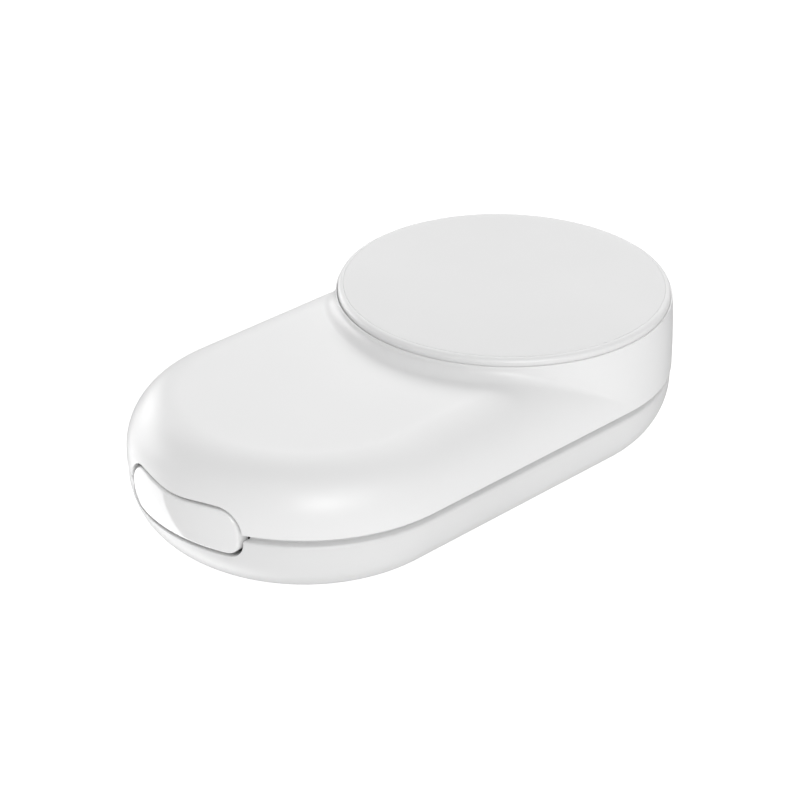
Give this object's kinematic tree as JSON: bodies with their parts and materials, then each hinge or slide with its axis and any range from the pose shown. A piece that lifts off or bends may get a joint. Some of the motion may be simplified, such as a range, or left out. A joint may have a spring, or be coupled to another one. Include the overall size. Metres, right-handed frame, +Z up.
{
  "type": "portable magnetic wireless charger",
  "caption": "Pill-shaped pocket battery pack with a raised round magnetic charging disc at one end and a push button in the opposite rounded end.",
  "frame": {"origin": "centre of the footprint, on the table", "axes": "+X along the length towards the charging disc, +Y across, +Z up"},
  "size_m": [0.108, 0.06, 0.028],
  "materials": {
    "upper_shell": "white satin plastic",
    "lower_shell": "white satin plastic",
    "disc_cap": "white plastic with a rounded edge",
    "disc_pad": "light grey soft-touch silicone",
    "magnet_ring": "nickel-plated magnets",
    "magnet_yoke": "thin steel",
    "charging_coil": "wound enamelled copper wire",
    "ferrite_shield": "sintered ferrite",
    "coil_carrier": "moulded plastic",
    "heat_spreader": "aluminium sheet",
    "coil_leads": "enamelled copper wire",
    "battery_cells": "cell in a green sleeve",
    "cell_cradle": "moulded plastic",
    "cell_straps": "nickel strip",
    "cell_leads": "insulated wire",
    "cell_sensor": "coated thermistor bead",
    "foam_pads": "closed-cell foam",
    "main_board": "glass-fibre circuit board",
    "board_chips": "moulded chip packages",
    "board_coils": "shielded inductor and capacitor",
    "usb_shell": "drawn steel",
    "usb_tongue": "black contact tongue",
    "board_screws": "plated steel",
    "status_led": "small lamp package",
    "light_pipe": "clear plastic",
    "button_cap": "glossy white plastic",
    "button_guide": "moulded plastic",
    "button_springs": "spring wire",
    "post_clips": "spring steel",
    "switch_body": "moulded switch body",
    "switch_plunger": "moulded plunger",
    "button_board": "glass-fibre circuit board",
    "guide_screws": "plated steel",
    "button_ribbon": "flat film cable",
    "case_screws": "plated steel",
    "foot_pad": "pale grey silicone rubber"
  },
  "bodies": {
    "base": {"upper_shell": "upper_shell", "lower_shell": "lower_shell", "disc_cap": "disc_cap", "disc_pad": "disc_pad", "magnet_ring": "magnet_ring", "magnet_yoke": "magnet_yoke", "charging_coil": "charging_coil", "ferrite_shield": "ferrite_shield", "coil_carrier": "coil_carrier", "heat_spreader": "heat_spreader", "coil_leads": "coil_leads", "battery_cells": "battery_cells", "cell_cradle": "cell_cradle", "cell_straps": "cell_straps", "cell_leads": "cell_leads", "cell_sensor": "cell_sensor", "foam_pads": "foam_pads", "main_board": "main_board", "board_chips": "board_chips", "board_coils": "board_coils", "usb_shell": "usb_shell", "usb_tongue": "usb_tongue", "board_screws": "board_screws", "status_led": "status_led", "light_pipe": "light_pipe", "button_guide": "button_guide", "button_springs": "button_springs", "switch_body": "switch_body", "button_board": "button_board", "guide_screws": "guide_screws", "button_ribbon": "button_ribbon", "case_screws": "case_screws", "foot_pad": "foot_pad"},
    "button": {"button_cap": "button_cap", "post_clips": "post_clips"},
    "plunger": {"switch_plunger": "switch_plunger"}
  },
  "joints": [
    {"name": "button_press", "type": "slide", "parent": "base", "child": "button", "axis": [1, 0, 0], "range_m": [0, 0.0008], "stiffness_N_per_m": 1500, "springref_m": -0.0005, "deforming": ["button_springs"]},
    {"name": "switch_press", "type": "slide", "parent": "base", "child": "plunger", "axis": [1, 0, 0], "range_m": [0, 0.0008]}
  ],
  "couplings": [
    {"joint": "switch_press", "follows": "button_press", "ratio": 1}
  ]
}
